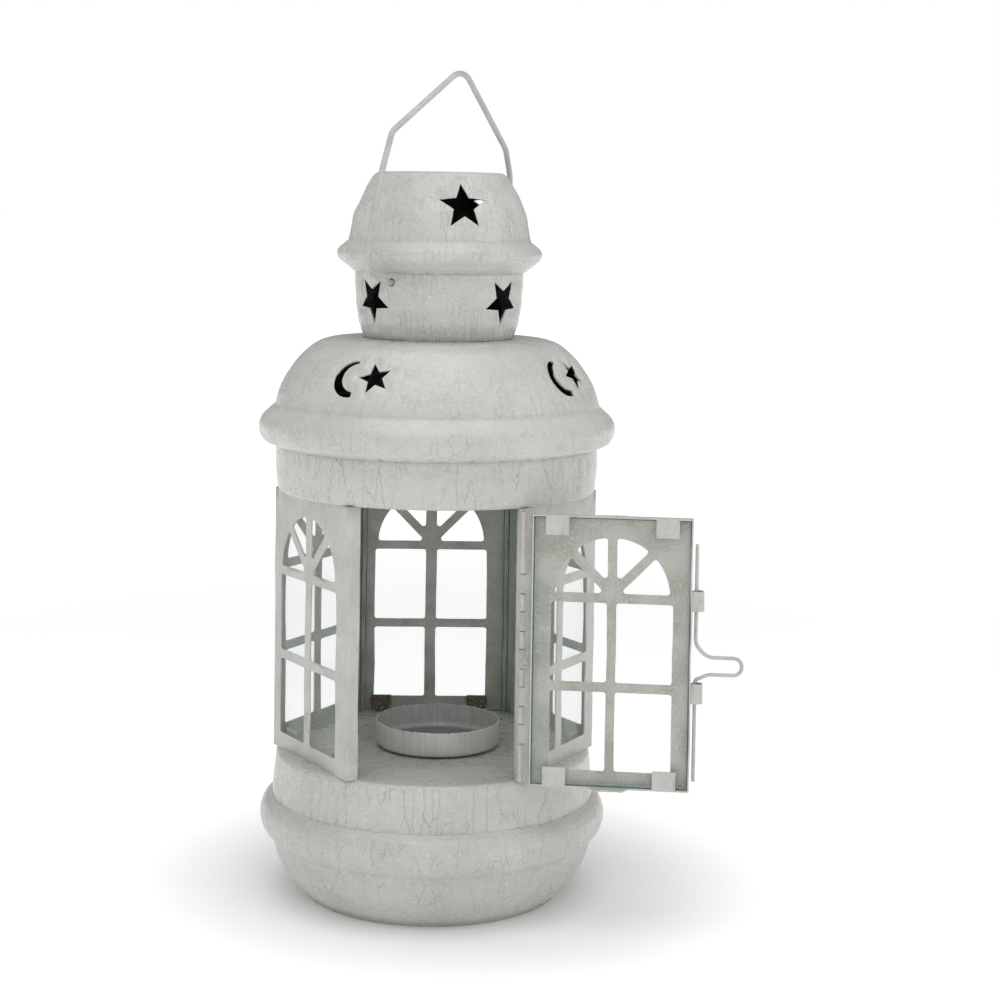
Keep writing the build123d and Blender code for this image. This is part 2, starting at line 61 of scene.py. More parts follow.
# Centre lines of the bent wires, each in its own plane, with the radius of every bend.
BAIL_AZIMUTH = 56.5
BAIL_LEAN = 6.3
BAIL_HOLE_Z = 204.9
BAIL_CORNERS = (
    (-25, 3.0), (-25, 0), (-30.4, 0), (-42.4, 4.4), (-43.0, 13.0), (-39.5, 37.0), (-36.3, 48.6), (0.6, 71.2),
    (33.2, 45.0), (37.6, 36.5), (43.0, 13.0), (42.4, 4.4), (30.4, 0), (25, 0), (25, 3.0),
)
BAIL_ROUNDS = (1.2, 3, 4, 6, 10, 3.5, 9, 6, 6, 6, 4, 3, 1.2)
ROD_OFFSET = 54.4
LOOP_DEPTH = 0.9
ROD_CORNERS = (
    (0, 51.6), (0, 83.6), (4.2, 85.4), (14.4, 85.4), (14.4, 90.8), (3.6, 90.8), (0, 94.6), (0, 126.1),
)
ROD_ROUNDS = (1.3, 2.5, 2.6, 2.6, 5.0, 5.0)

# Punched cut-outs: angle from the front, height, wall lean and wall radius, then a star's radius and tilt.
ROOF_TURNS = (-31, 59, 149, 239)
STAR_PAST_MOON = 6.6
ROOF_STARS = [(turn + STAR_PAST_MOON, 176.0, 36, 48.9, 5.8, 17) for turn in ROOF_TURNS]
ROOF_MOONS = [(turn, 176.0, 36, 48.9) for turn in ROOF_TURNS]
CHIMNEY_STARS = [(turn, 199.0, 0, 27.9, 8.0, 180) for turn in (-54.2, 51.0, 178.9)]
CAP_STARS = [(turn, 230.4, 22, 27.8, 8.2, 0) for turn in (16.3, 136.3, 256.3)]
STAR_WAIST = 0.44
MOON_OUTLINE = (
    (-2.2, 6.2), (-5.6, 5.5), (-8.3, 2.9), (-9.3, -0.5), (-8.3, -4.2), (-5.1, -6.8), (-1.1, -7.1),
    (-1.0, -5.2), (-4.3, -3.9), (-6.3, -0.2), (-5.2, 3.0), (-2.1, 5.1),
)

# How finely the pieces are worked, in millimetres and counts.
WELD = 0.0005
ARC_STEPS = 8
WIRE_SIDES = 20
CUP_SIDES = 240
SHELL_SLICE = 3.0

# How wide the dents and the bars' waves are, how far the waves and the bowl's rim move, in millimetres.
DENT_SIZE = 17.0
SMALL_DENT_SIZE = 6.0
WAVE_SIZE = 14.0
SIDE_WAVE = 0.32
DEPTH_WAVE = 0.22
RIM_ROLL = 0.6
# A height above every shell, for those whose rim isn't rolled.
NO_RIM = 1e9


# ---------------------------------------------------------------- node trees
class Look:
    """One material's node tree, with short calls for the nodes used here. Lengths are in millimetres."""

    def __init__(self, name):
        self.material = bpy.data.materials.new(name)
        self.material.use_nodes = True
        self.tree = self.material.node_tree
        self.tree.nodes.clear()
        self.shader = self.add("BsdfPrincipled")
        output = self.add("OutputMaterial")
        self.tree.links.new(self.shader.outputs[0], output.inputs[0])
        place = self.add("TexCoord").outputs["Object"]
        scaled = self.add("VectorMath", {0: place, "Scale": 1 / MM}, operation="SCALE")
        self.place = scaled.outputs[0]
        split = self.add("SeparateXYZ", {0: self.place})
        self.x, self.y, self.z = split.outputs
        self.facing = self.add("NewGeometry").outputs["True Normal"]

    def unrolled(self, squeeze):
        """Place on the lantern's wall unrolled flat: way round, distance out, height times squeeze."""
        back = self.math("MULTIPLY", self.y, -1.0)
        turn = self.math("ARCTAN2", self.x, back)
        round_way = self.math("MULTIPLY", turn, WALL_RADIUS)
        out = self.math("SQRT", self.total(self.math("POWER", self.x, 2.0), self.math("POWER", self.y, 2.0)))
        tall = self.math("MULTIPLY", self.z, squeeze)
        return self.add("CombineXYZ", {0: round_way, 1: out, 2: tall}).outputs[0]

    def steepness(self):
        """1 on upright walls, 0 on flat tops."""
        split = self.add("SeparateXYZ", {0: self.facing})
        tilt = self.math("ABSOLUTE", split.outputs[2])
        return self.span(tilt, 0.45, 0.80, 1.0, 0.0)

    def add(self, kind, sockets=None, **settings):
        made = self.tree.nodes.new("ShaderNode" + kind)
        for key, value in settings.items():
            setattr(made, key, value)
        for key, value in (sockets or {}).items():
            if isinstance(value, bpy.types.NodeSocket):
                self.tree.links.new(value, made.inputs[key])
            else:
                made.inputs[key].default_value = value
        return made

    def math(self, operation, first, second=0.0):
        return self.add("Math", {0: first, 1: second}, operation=operation).outputs[0]

    def total(self, *values):
        result = values[0]
        for value in values[1:]:
            result = self.math("ADD", result, value)
        return result

    def span(self, value, low, high, start=0.0, end=1.0):
        """Value carried from low..high to start..end with soft ends, held outside that span."""
        sockets = {"Value": value, "From Min": low, "From Max": high, "To Min": start, "To Max": end}
        return self.add("MapRange", sockets, interpolation_type="SMOOTHSTEP").outputs[0]

    def band(self, value, centre, width):
        """1 at centre, falling to 0 at centre plus or minus width."""
        away = self.math("ABSOLUTE", self.math("SUBTRACT", value, centre))
        return self.span(away, 0.0, width, 1.0, 0.0)

    def mix(self, share, first, second):
        made = self.add("Mix", {0: share, 6: first, 7: second}, data_type="RGBA")
        return made.outputs[2]

    def stretch(self, scale):
        return self.add("VectorMath", {0: self.place, 1: scale}, operation="MULTIPLY").outputs[0]

    def noise(self, size, detail=2.0, place=None, roughness=0.5):
        sockets = {"Vector": place or self.place, "Scale": 1 / size, "Detail": detail, "Roughness": roughness}
        return self.add("TexNoise", sockets).outputs[0]

    def warped(self, place, size, amount):
        sockets = {"Vector": self.place, "Scale": 1 / size, "Detail": 3.0}
        cloud = self.add("TexNoise", sockets).outputs["Color"]
        centred = self.add("VectorMath", {0: cloud, 1: (0.5, 0.5, 0.5)}, operation="SUBTRACT").outputs[0]
        moved = self.add("VectorMath", {0: centred, "Scale": amount}, operation="SCALE").outputs[0]
        return self.add("VectorMath", {0: place, 1: moved}, operation="ADD").outputs[0]

    def cracks(self, cell, width, place=None, wander=0.8, low=0.40, high=0.60):
        """Thin lines between cells of that size, broken up into patches."""
        moved = self.warped(place or self.place, cell * 0.7, wander)
        sockets = {"Vector": moved, "Scale": 1 / cell}
        edge = self.add("TexVoronoi", sockets, feature="DISTANCE_TO_EDGE").outputs["Distance"]
        line = self.span(edge, 0.0, width / cell, 1.0, 0.0)
        patch = self.span(self.noise(cell * 2.2, 3.0), low, high)
        return self.math("MULTIPLY", line, patch)

    def outward(self):
        """1 on faces that look away from the lantern's axis, 0 on faces that look towards it."""
        flat = self.add("VectorMath", {0: self.place, 1: (1.0, 1.0, 0.0)}, operation="MULTIPLY").outputs[0]
        away = self.add("VectorMath", {0: flat}, operation="NORMALIZE").outputs[0]
        dot = self.add("VectorMath", {0: away, 1: self.facing}, operation="DOT_PRODUCT").outputs["Value"]
        return self.span(dot, -0.12, 0.02)

    def bump(self, height, depth, under=None):
        sockets = {"Strength": 1.0, "Distance": depth * MM, "Height": height}
        if under is not None:
            sockets["Normal"] = under
        return self.add("Bump", sockets).outputs[0]

    def finish(self, colour, roughness, normal=None, **values):
        """Colour and roughness may vary over the surface; the other values are the same all over it."""
        wanted = {"Base Color": colour, "Roughness": roughness, "Normal": normal}
        for key, value in wanted.items():
            if isinstance(value, bpy.types.NodeSocket):
                self.tree.links.new(value, self.shader.inputs[key])
            elif value is not None:
                self.shader.inputs[key].default_value = value
        for key, value in values.items():
            self.shader.inputs[key.replace("_", " ")].default_value = value
        return self.material


def grey(value, warm=0.0):
    """A linear grey, a little yellower as warm grows."""
    return (value, value * (1.0 + 0.1 * warm), value * (1.0 - warm), 1.0)


PAINT = grey(0.565, 0.055)
PAINT_WORN = grey(0.51, 0.065)
CRACK = grey(0.27, 0.10)
GROOVE_TONE = (0.40, 0.37, 0.30, 1.0)
RUST = (0.16, 0.08, 0.04, 1.0)
DIRT_AND_CLIP_SHADE = (0.06, 0.055, 0.05, 1.0)
OLD_PAINT_AND_CLIP_SHADE = (0.30, 0.27, 0.24, 1.0)
# Painted shade: the greenish-grey insides are set darker than the outside paint, for the shade inside the
# lantern.
CAGE_INSIDE_SHADED = (0.44, 0.455, 0.41, 1.0)
DOOR_INSIDE_SHADED = (0.46, 0.465, 0.42, 1.0)
# Painted shade: the domes' unpainted insides are made near-black, darker than bare metal, so the cut-outs
# look into a dark hollow.
DOME_INSIDE_SHADE = (0.014, 0.012, 0.010, 1.0)


def crackle_paint(name, net, hairs, inside, creases=()):
    """Thick off-white paint on spun sheet.

    Net is how strong the fine net of cracks is, and hairs how strong the upright hairlines are.
    Creases are (height, reach, strength) of a soft, blotchy, darker yellowish band along a groove.
    """
    look = Look(name)
    tone = look.mix(look.span(look.noise(22.0, 3.0), 0.3, 0.7), PAINT, PAINT_WORN)
    fine = look.noise(0.9, 3.0, roughness=0.7)
    tone = look.mix(look.span(fine, 0.50, 0.80, 0.0, 0.16), tone, grey(0.40, 0.08))
    # Painted glints: tiny bright specks in the colour stand in for the glints of the paint's sheen.
    bright = look.span(look.noise(0.7, 2.0), 0.62, 0.74, 0.0, 0.5)
    tone = look.mix(bright, tone, grey(0.86, 0.03))
    web = look.cracks(2.1, 0.16, wander=0.9, low=0.36, high=0.66)
    large = look.cracks(5.0, 0.13, wander=1.6, low=0.44, high=0.62)
    long_hairs = look.cracks(3.6, 0.10, look.unrolled(0.14), 1.3, 0.40, 0.58)
    steep = look.steepness()
    hair = look.math("MULTIPLY", long_hairs, steep)
    net_share = look.math("MULTIPLY", look.span(steep, 0.0, 1.0, 0.25, 1.0), net)
    tone = look.mix(look.math("MULTIPLY", web, net_share), tone, CRACK)
    tone = look.mix(look.math("MULTIPLY", large, net_share), tone, CRACK)
    tone = look.mix(look.math("MULTIPLY", hair, hairs), tone, CRACK)
    # Each crease darkens the paint to a yellowish grey in a soft blotchy band at its height.
    for height, reach, strength in creases:
        edge = look.band(look.z, height, reach)
        blotch = look.span(look.noise(3.0, 4.0), 0.25, 0.7, 0.35, 1.0)
        share = look.math("MULTIPLY", look.math("MULTIPLY", edge, blotch), strength)
        tone = look.mix(share, tone, GROOVE_TONE)
    # Faces looking towards the axis take the inside colour, which is darker than the paint as painted shade.
    tone = look.mix(look.outward(), inside, tone)
    swirled = look.warped(look.place, 2.0, 1.2)
    pebbles = look.add("TexVoronoi", {"Vector": swirled, "Scale": 1 / 2.3}).outputs["Distance"]
    normal = look.bump(look.noise(24.0, 1.0), 1.2)
    normal = look.bump(look.noise(3.4, 3.0), 0.30, normal)
    normal = look.bump(pebbles, -0.13, normal)
    normal = look.bump(look.noise(0.6, 3.0, roughness=0.7), 0.11, normal)
    net_lines = look.math("MULTIPLY", look.math("ADD", web, large), look.span(steep, 0.0, 1.0, 0.2, 1.0))
    lines = look.math("ADD", net_lines, look.math("MULTIPLY", hair, 1.6))
    normal = look.bump(lines, -0.06, normal)
    shine = look.span(look.noise(4.0, 3.0), 0.3, 0.7, 0.22, 0.40)
    return look.finish(tone, shine, normal, Coat_Weight=0.15, Coat_Roughness=0.20)


def panel_paint(name):
    """Paint on the folded panels' outsides, posts and knuckles, with fine cracks and small worn spots."""
    look = Look(name)
    tone = look.mix(look.span(look.noise(14.0, 3.0), 0.3, 0.7), grey(0.54, 0.05), grey(0.47, 0.065))
    hair = look.cracks(3.2, 0.10, look.unrolled(0.18), 1.1, 0.40, 0.58)
    web = look.cracks(2.0, 0.15, wander=0.9, low=0.38, high=0.64)
    tone = look.mix(look.math("MULTIPLY", hair, 0.40), tone, CRACK)
    tone = look.mix(look.math("MULTIPLY", web, 0.16), tone, CRACK)
    wear = look.span(look.noise(1.3, 4.0), 0.60, 0.72, 0.0, 0.45)
    tone = look.mix(wear, tone, grey(0.36, 0.12))
    # Painted glints: tiny bright specks in the colour stand in for the glints of the paint's sheen.
    bright = look.span(look.noise(0.7, 2.0), 0.64, 0.76, 0.0, 0.3)
    tone = look.mix(bright, tone, grey(0.78, 0.03))
    normal = look.bump(look.noise(12.0, 1.0), 0.6)
    normal = look.bump(look.noise(2.2, 2.0), 0.12, normal)
    normal = look.bump(look.noise(0.6, 2.0), 0.05, normal)
    normal = look.bump(look.total(hair, web), -0.05, normal)
    shine = look.span(look.noise(4.0, 3.0), 0.3, 0.7, 0.30, 0.48)
    return look.finish(tone, shine, normal)


def shaded_inside_paint(name, colour, speckle, rust_and_shade_spots=()):
    """The greenish-grey paint on the panels' insides, darker than the outside paint as painted shade. Spots
    are (x, y, z, reach) of dark spots that are partly rust and dirt, partly painted shade of the glass clips.
    """
    look = Look(name)
    pale = (min(1.0, colour[0] * 1.3), min(1.0, colour[1] * 1.28), min(1.0, colour[2] * 1.3), 1.0)
    deep = (colour[0] * 0.74, colour[1] * 0.76, colour[2] * 0.72, 1.0)
    tone = look.mix(look.span(look.noise(9.0, 4.0), 0.35, 0.68), colour, deep)
    tone = look.mix(look.span(look.noise(0.8, 4.0), 0.52, 0.66, 0.0, speckle), tone, pale)
    runs = look.noise(0.7, 3.0, look.stretch((1.0, 1.0, 0.3)))
    tone = look.mix(look.span(runs, 0.60, 0.74, 0.0, 0.5), tone, deep)
    # Dark spots at the glass clips: partly rust and dirt, partly painted shade standing in for the shaded
    # clips.
    for x, y, z, reach in rust_and_shade_spots:
        away = look.add("VectorMath", {0: look.place, 1: (x, y, z)}, operation="DISTANCE").outputs["Value"]
        near = look.span(away, reach * 0.7, reach, 1.0, 0.0)
        spots = look.mix(look.span(look.noise(0.5, 3.0), 0.50, 0.62), DIRT_AND_CLIP_SHADE, OLD_PAINT_AND_CLIP_SHADE)
        spots = look.mix(look.span(look.noise(2.4, 3.0), 0.52, 0.62), spots, RUST)
        tone = look.mix(near, tone, spots)
    normal = look.bump(look.noise(8.0, 1.0), 0.3)
    normal = look.bump(look.noise(0.8, 3.0), 0.06, normal)
    shine = look.span(look.noise(4.0, 3.0), 0.3, 0.7, 0.36, 0.56)
    return look.finish(tone, shine, normal)


def wire_paint(name, tone_value):
    """Paint on the wires, chipped in small spots."""
    look = Look(name)
    cloud = look.span(look.noise(6.0, 3.0), 0.35, 0.65)
    tone = look.mix(cloud, grey(tone_value, 0.03), grey(tone_value * 0.86, 0.05))
    chip = look.span(look.noise(1.0, 4.0), 0.64, 0.74, 0.0, 0.45)
    tone = look.mix(chip, tone, grey(0.25, 0.10))
    normal = look.bump(look.noise(1.2, 2.0), 0.03)
    shine = look.span(look.noise(2.0, 3.0), 0.3, 0.7, 0.28, 0.44)
    return look.finish(tone, shine, normal)


def clear_glass(name):
    """Thin window glass: nearly clear seen straight on, with a pale greenish haze and dust that show at a
    slant; the haze is partly grime on the glass and partly painted reflection.
    """
    look = Look(name)
    smear = look.span(look.noise(22.0, 4.0, roughness=0.65), 0.45, 0.75)
    tint = look.mix(smear, (0.75, 0.82, 0.77, 1.0), (0.82, 0.86, 0.82, 1.0))
    grazing = look.add("LayerWeight", {"Blend": 0.5}).outputs["Facing"]
    # Painted reflection: the pane turns half opaque and pale at a slant, partly for grime and partly standing
    # in for the glass's reflection.
    haze_and_reflection = look.span(grazing, 0.42, 0.99, 0.03, 0.50)
    look.tree.links.new(haze_and_reflection, look.shader.inputs["Alpha"])
    dust = look.span(look.noise(7.0, 5.0), 0.42, 0.80, 0.02, 0.10)
    return look.finish(tint, dust, IOR=1.5)


def glass_edge(name):
    """The green cut edges of the panes."""
    look = Look(name)
    tone = look.mix(look.noise(3.0, 3.0), (0.30, 0.43, 0.36, 1.0), (0.48, 0.60, 0.53, 1.0))
    shine = look.span(look.noise(1.5, 3.0), 0.3, 0.7, 0.08, 0.25)
    return look.finish(tone, shine, IOR=1.5, Alpha=0.85)


def tin(name):
    """Dull tinplate with upright streaks and a bright rim, darkened at the bottom by painted shade where the
    cup stands on the deck.
    """
    look = Look(name)
    streaks = look.noise(0.9, 3.0, look.stretch((1.0, 1.0, 0.07)), roughness=0.6)
    tone = look.mix(look.span(streaks, 0.35, 0.65), (0.53, 0.54, 0.52, 1.0), (0.61, 0.62, 0.60, 1.0))
    tone = look.mix(look.span(look.noise(6.0, 4.0), 0.50, 0.72, 0.0, 0.3), tone, (0.46, 0.46, 0.44, 1.0))
    grain = look.span(look.noise(0.6, 3.0), 0.58, 0.70, 0.0, 0.5)
    tone = look.mix(grain, tone, (0.75, 0.76, 0.74, 1.0))
    ragged_height = look.math("ADD", look.z, look.math("MULTIPLY", look.noise(0.9, 3.0), 0.9))
    rim = look.span(ragged_height, 57.0, 57.25)
    tone = look.mix(rim, tone, (0.80, 0.81, 0.79, 1.0))
    # Painted shade: the bottom of the cup is darkened to draw the shadow in the gap under it.
    painted_foot_shade = look.span(look.z, 48.4, 49.5, 0.75, 0.0)
    tone = look.mix(painted_foot_shade, tone, (0.10, 0.10, 0.095, 1.0))
    normal = look.bump(look.noise(1.6, 2.0, look.stretch((1.0, 1.0, 0.10))), 0.05)
    normal = look.bump(look.noise(0.5, 2.0), 0.04, normal)
    shine = look.span(streaks, 0.3, 0.7, 0.34, 0.52)
    return look.finish(tone, shine, normal, Metallic=0.20)


def old_steel(name):
    """Bare steel with rust in patches."""
    look = Look(name)
    rust = look.span(look.noise(1.6, 4.0), 0.46, 0.62)
    tone = look.mix(rust, (0.30, 0.28, 0.25, 1.0), RUST)
    normal = look.bump(look.noise(0.4, 3.0), 0.05)
    return look.finish(tone, look.span(rust, 0.0, 1.0, 0.4, 0.8), normal, Metallic=0.6)


bowl_paint = crackle_paint("bowl_paint", 0.13, 0.26, CAGE_INSIDE_SHADED, ((19.5, 1.5, 0.35), (1.2, 1.3, 0.5)))
deck_paint = crackle_paint("deck_paint", 0.10, 0.50, CAGE_INSIDE_SHADED, ((33.4, 0.7, 0.2),))
ceiling_paint = crackle_paint("ceiling_paint", 0.08, 0.50, CAGE_INSIDE_SHADED, ((150.6, 0.9, 0.5),))
roof_paint = crackle_paint("roof_paint", 0.12, 0.10, DOME_INSIDE_SHADE, ((164.0, 1.6, 0.25), (150.6, 1.0, 0.5)))
chimney_creases = ((186.6, 1.0, 0.5), (208.0, 1.0, 0.5))
chimney_paint = crackle_paint("chimney_paint", 0.10, 0.28, DOME_INSIDE_SHADE, chimney_creases)
cap_paint = crackle_paint("cap_paint", 0.16, 0.14, DOME_INSIDE_SHADE, ((218.3, 1.3, 0.25), (208.7, 0.9, 0.5)))
bail_wire_paint = wire_paint("bail_paint", 0.50)
latch_paint = wire_paint("latch_paint", 0.52)
pane_clear = clear_glass("pane_clear")
pane_edge = glass_edge("pane_edge")
tinplate = tin("cup_tin")
steel = old_steel("pin_steel")
panel_outside = panel_paint("panel_paint")
door_inside = shaded_inside_paint("door_inside", DOOR_INSIDE_SHADED, 0.55)
cage_inside = shaded_inside_paint("cage_inside", CAGE_INSIDE_SHADED, 0.45)
# Where the back panel's bottom glass clips sit; their spots are partly rust and partly painted shade.
back_clips = ((-19.2, 44.0, 52.0, 5.2), (15.2, 44.0, 52.0, 5.2))
back_inside = shaded_inside_paint("back_inside", CAGE_INSIDE_SHADED, 0.45, back_clips)


def dress(name, material):
    """Give a CAD node its finish."""
    slots = nodes[name].data.materials
    if len(slots) == 0:
        slots.append(material)
    for index in range(len(slots)):
        slots[index] = material


for part_name, material in (("cup_rivet", tinplate), ("hinge_pin", steel)):
    dress(part_name, material)


# ---------------------------------------------------------------- pieces worked finer than the CAD nodes
def copied(node):
    """The CAD node's mesh, welded, as a working mesh in millimetres."""
    shape = bmesh.new()
    shape.from_mesh(nodes[node].data)
    bmesh.ops.scale(shape, vec=(1 / MM, 1 / MM, 1 / MM), verts=shape.verts)
    bmesh.ops.remove_doubles(shape, verts=shape.verts, dist=WELD)
    return shape


def sliced(shape, point, normal, faces=None):
    """Cut a line of new corners into the faces where that plane passes, and give back the faces."""
    chosen = faces if faces is not None else shape.faces[:]
    edges = {edge for face in chosen for edge in face.edges}
    corners = {corner for face in chosen for corner in face.verts}
    geometry = list(corners) + list(edges) + list(chosen)
    cut = bmesh.ops.bisect_plane(shape, geom=geometry, plane_co=point, plane_no=normal, dist=WELD)
    return [part for part in cut["geom"] if isinstance(part, bmesh.types.BMFace)]


def finished(name, shape, body, stands_for, materials, crease=35.0):
    """Turn the working mesh into a shown piece that stands for those CAD nodes. Crease is in degrees."""
    bmesh.ops.scale(shape, vec=(MM, MM, MM), verts=shape.verts)
    mesh = bpy.data.meshes.new(name)
    shape.to_mesh(mesh)
    shape.free()
    for material in materials:
        mesh.materials.append(material)
    for face in mesh.polygons:
        face.use_smooth = True
    mesh.set_sharp_from_angle(angle=math.radians(crease))
    piece = bpy.data.objects.new(name, mesh)
    bpy.context.scene.collection.objects.link(piece)
    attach(piece, body)
    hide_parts(*stands_for)


def star_outline(reach, tilt):
    """The ten corners of a punched star."""
    corners = []
    for step in range(10):
        out = reach if step % 2 == 0 else reach * STAR_WAIST
        turn = math.radians(90 + tilt + 36 * step)
        corners.append((out * math.cos(turn), out * math.sin(turn)))
    return corners


def wall_plane(angle, height, lean, radius):
    """Point on a round wall, and the wall's directions there: across, up and outward."""
    turn = math.radians(angle)
    slope = math.radians(lean)
    level = Vector((math.sin(turn), -math.cos(turn), 0))
    normal = level * math.cos(slope) + Vector((0, 0, math.sin(slope)))
    across = Vector((math.cos(turn), math.sin(turn), 0))
    return level * radius + Vector((0, 0, height)), across, normal.cross(across), normal


def outline_distance(u, v, outline):
    """Distance from a point to an outline."""
    best = math.inf
    for index, (x0, y0) in enumerate(outline):
        x1, y1 = outline[(index + 1) % len(outline)]
        along_x, along_y = x1 - x0, y1 - y0
        share = ((u - x0) * along_x + (v - y0) * along_y) / (along_x * along_x + along_y * along_y)
        share = min(1.0, max(0.0, share))
        best = min(best, math.hypot(u - x0 - share * along_x, v - y0 - share * along_y))
    return best


def spun_shell(name, node, heights, cutouts, material, dents, press=0.0, press_reach=2.2, rim_from=NO_RIM):
    """A spun shell with soft dents all round, and the metal beside each cut-out pressed inward.

    It is sliced between the two heights. Cut-outs are (plane, outline). Dents and press are depths.
    Above rim_from the rim is rolled in a little, onto what it holds. Everything moves inward only.
    """
    low, high = heights
    shape = copied(node)
    for turn in range(0, 180, 10):
        angle = math.radians(turn + 1.3)
        sliced(shape, (0, 0, 0), (math.cos(angle), math.sin(angle), 0))
    for index in range(int((high - low) / SHELL_SLICE) + 1):
        sliced(shape, (0, 0, low + SHELL_SLICE * index), (0, 0, 1))
    for (point, across, up, normal), outline in cutouts:
        reach = max(math.hypot(u, v) for u, v in outline) + 2 * press_reach
        close = [face for face in shape.faces if (face.calc_center_median() - point).length < reach + 3]
        for direction in (across, up):
            for index in range(-int(reach), int(reach) + 1):
                close = sliced(shape, point + direction * (index + 0.03), direction, close)
    for corner in shape.verts:
        place = corner.co.copy()
        level = Vector((place.x, place.y, 0))
        distance = level.length
        if distance < 1.0:
            continue
        swell = 0.5 + 0.5 * noise.noise(place / DENT_SIZE)
        swell = 0.75 * swell + 0.25 * (0.5 + 0.5 * noise.noise(place / SMALL_DENT_SIZE))
        corner.co -= level / distance * dents * swell
        corner.co -= level / distance * min(RIM_ROLL, max(0.0, (place.z - rim_from) * 0.6))
        for (point, across, up, normal), outline in cutouts:
            offset = place - point
            if abs(offset.dot(normal)) < 8 and offset.length < 16:
                away = outline_distance(offset.dot(across), offset.dot(up), outline)
                corner.co -= normal * press * math.exp(-((away / press_reach) ** 2))
    finished(name, shape, "lantern", (node,), (material,))


def star_cutouts(specs):
    """Plane and outline of each star."""
    return [(wall_plane(*spec[:4]), star_outline(*spec[4:])) for spec in specs]


roof_cutouts = star_cutouts(ROOF_STARS) + [(wall_plane(*spec), MOON_OUTLINE) for spec in ROOF_MOONS]
chimney_cutouts = star_cutouts(CHIMNEY_STARS)
cap_cutouts = star_cutouts(CAP_STARS)
spun_shell("roof_shell", "roof_dome", (152, 185), roof_cutouts, roof_paint, 0.20, 0.75, 1.9)
spun_shell("cap_shell", "chimney_cap", (210, 240), cap_cutouts, cap_paint, 0.22, 0.95, 2.6)
spun_shell("chimney_shell", "chimney_wall", (188, 209), chimney_cutouts, chimney_paint, 0.12, 0.95, 2.6)
spun_shell("bowl_shell", "base_bowl", (2, 32), (), bowl_paint, 0.15, rim_from=31.5)
spun_shell("deck_shell", "deck", (30, 47), (), deck_paint, 0.20)
spun_shell("ceiling_shell", "ceiling_pan", (136, 153), (), ceiling_paint, 0.20)


def panel_directions(turn):
    """The directions outward from and across a panel at that angle about the axis."""
    angle = math.radians(turn)
    return Vector((math.sin(angle), -math.cos(angle), 0)), Vector((math.cos(angle), math.sin(angle), 0))


def folded_panel(name, node, turn, body, inside, inward_from, clip_depth=9.0):
    """A folded window panel with slightly wavy bars, its inside in a darker greenish paint whose darkness is
    painted shade.

    Turn is the panel's angle about the axis, and faces whose outward share is below inward_from are inside.
    Faces deeper than clip_depth behind the front keep the outside's paint.
    """
    shape = copied(node)
    outward, across = panel_directions(turn)
    for index in range(13):
        sliced(shape, (0, 0, 52.0 + 6.5 * index), (0, 0, 1))
    low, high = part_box(node)
    centre = (Vector(low) + Vector(high)) / 2 / MM
    for index in range(-4, 5):
        sliced(shape, centre + across * (index * 6.1 + 0.4), across)
    shape.normal_update()
    middle = [corner.co for corner in shape.verts if abs((corner.co - centre).dot(across)) < 20]
    front = max(place.dot(outward) for place in middle)
    for face in shape.faces:
        behind = front - face.calc_center_median().dot(outward)
        # Painted shade: inward-looking faces near the front take the darker inside paint. inward_from is
        # looser on the back panels so their flanges, which stand in shade, are darkened too.
        thin = face.normal.dot(outward) < inward_from and behind < clip_depth
        face.material_index = 1 if thin else 0
    hinge = Vector((HINGE_X, HINGE_Y, 0))
    for corner in shape.verts:
        place = corner.co.copy()
        from_hinge = (Vector((place.x, place.y, 0)) - hinge).length
        share = min(1.0, max(0.0, (from_hinge - 4.0) / 8.0))
        edge = min(1.0, max(0.0, min(place.z - 50.0, 133.0 - place.z) / 5.0))
        wave = noise.noise_vector(place / WAVE_SIZE)
        corner.co += across * wave.x * SIDE_WAVE * share * edge
        corner.co += outward * wave.y * DEPTH_WAVE * share * edge
    finished(name, shape, body, (node,), (panel_outside, inside))


INWARD_SHARE = {"front_right": -0.6, "front_left": -0.6}
for side, turn in FIXED_SIDES:
    inside = back_inside if side == "back" else cage_inside
    folded_panel(side + "_frame", side + "_panel", turn, "lantern", inside, INWARD_SHARE.get(side, -0.1))
folded_panel("door_frame", "door_panel", DOOR_OPEN, "door", door_inside, -0.6, 2.0)


def glass_pane(name, node, turn, body):
    """A pane with its cut edges green."""
    shape = copied(node)
    outward = panel_directions(turn)[0]
    shape.normal_update()
    for face in shape.faces:
        face.material_index = 0 if abs(face.normal.dot(outward)) > 0.9 else 1
    finished(name, shape, body, (node,), (pane_clear, pane_edge), 10.0)


for side, turn in FIXED_SIDES:
    glass_pane(side + "_pane", side + "_glass", turn, "lantern")
glass_pane("door_pane", "door_glass", DOOR_OPEN, "door")


def rounded_path(corners, rounds):
    """The corners of a bent wire's centre line, each inner corner turned into an arc of its radius."""
    points = [Vector(corners[0])]
    for index, radius in enumerate(rounds):
        before, corner, after = (Vector(corners[index + step]) for step in range(3))
        inward = (before - corner).normalized()
        outward = (after - corner).normalized()
        half = inward.angle(outward) / 2
        start = corner + inward * (radius / math.tan(half))
        middle = corner + (inward + outward).normalized() * (radius / math.sin(half))
        first = start - middle
        sweep = math.pi - 2 * half
        away = (corner + outward * (radius / math.tan(half))) - middle
        for step in range(ARC_STEPS + 1):
            share = step / ARC_STEPS
            spread = math.sin(sweep)
            near = math.sin((1 - share) * sweep) / spread
            far = math.sin(share * sweep) / spread
            points.append(middle + first * near + away * far)
    points.append(Vector(corners[-1]))
    return points


